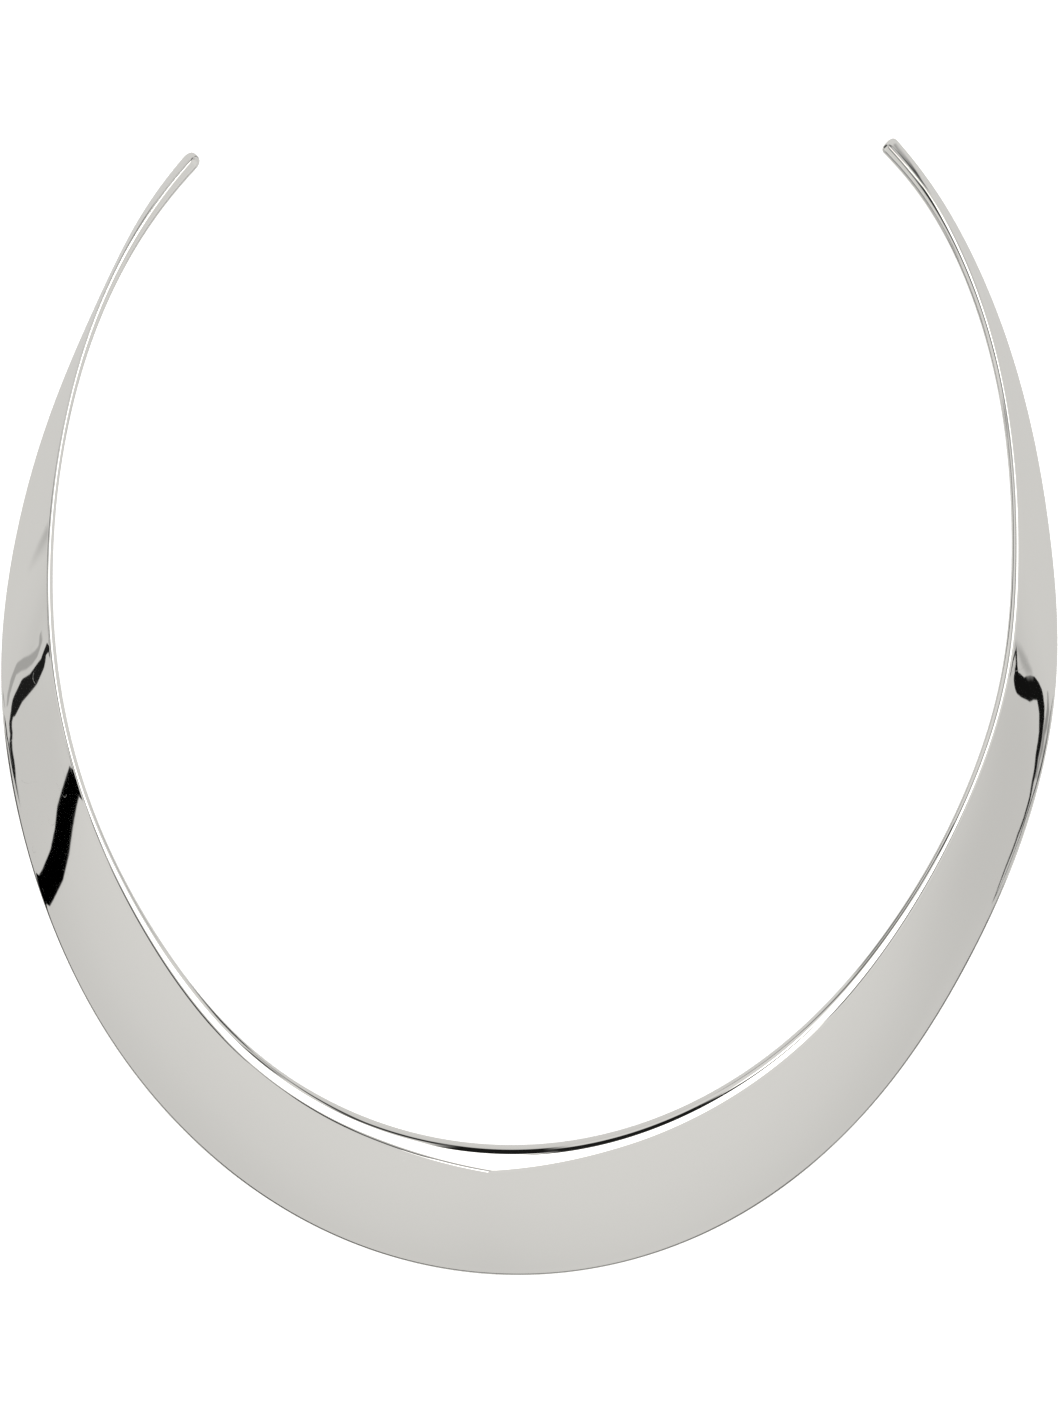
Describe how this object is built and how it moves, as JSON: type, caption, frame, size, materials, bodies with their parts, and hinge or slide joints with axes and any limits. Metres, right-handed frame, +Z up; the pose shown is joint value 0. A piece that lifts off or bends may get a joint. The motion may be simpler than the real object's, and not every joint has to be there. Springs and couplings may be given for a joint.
{
  "type": "rigid collar necklace",
  "caption": "Rigid open collar necklace of polished metal: a band that is wide and sloping at the front and narrows to two free tips at the back of the neck.",
  "frame": {"origin": "middle of the footprint, on the surface that the collar lies on", "axes": "+Z up, -Y towards the wide middle of the front, +Y towards the two free tips, +X to the right when seen from above with the front below"},
  "size_m": [0.132, 0.142, 0.0105],
  "materials": {
    "silver": "polished"
  },
  "bodies": {
    "root": {"collar": "silver"}
  },
  "joints": []
}
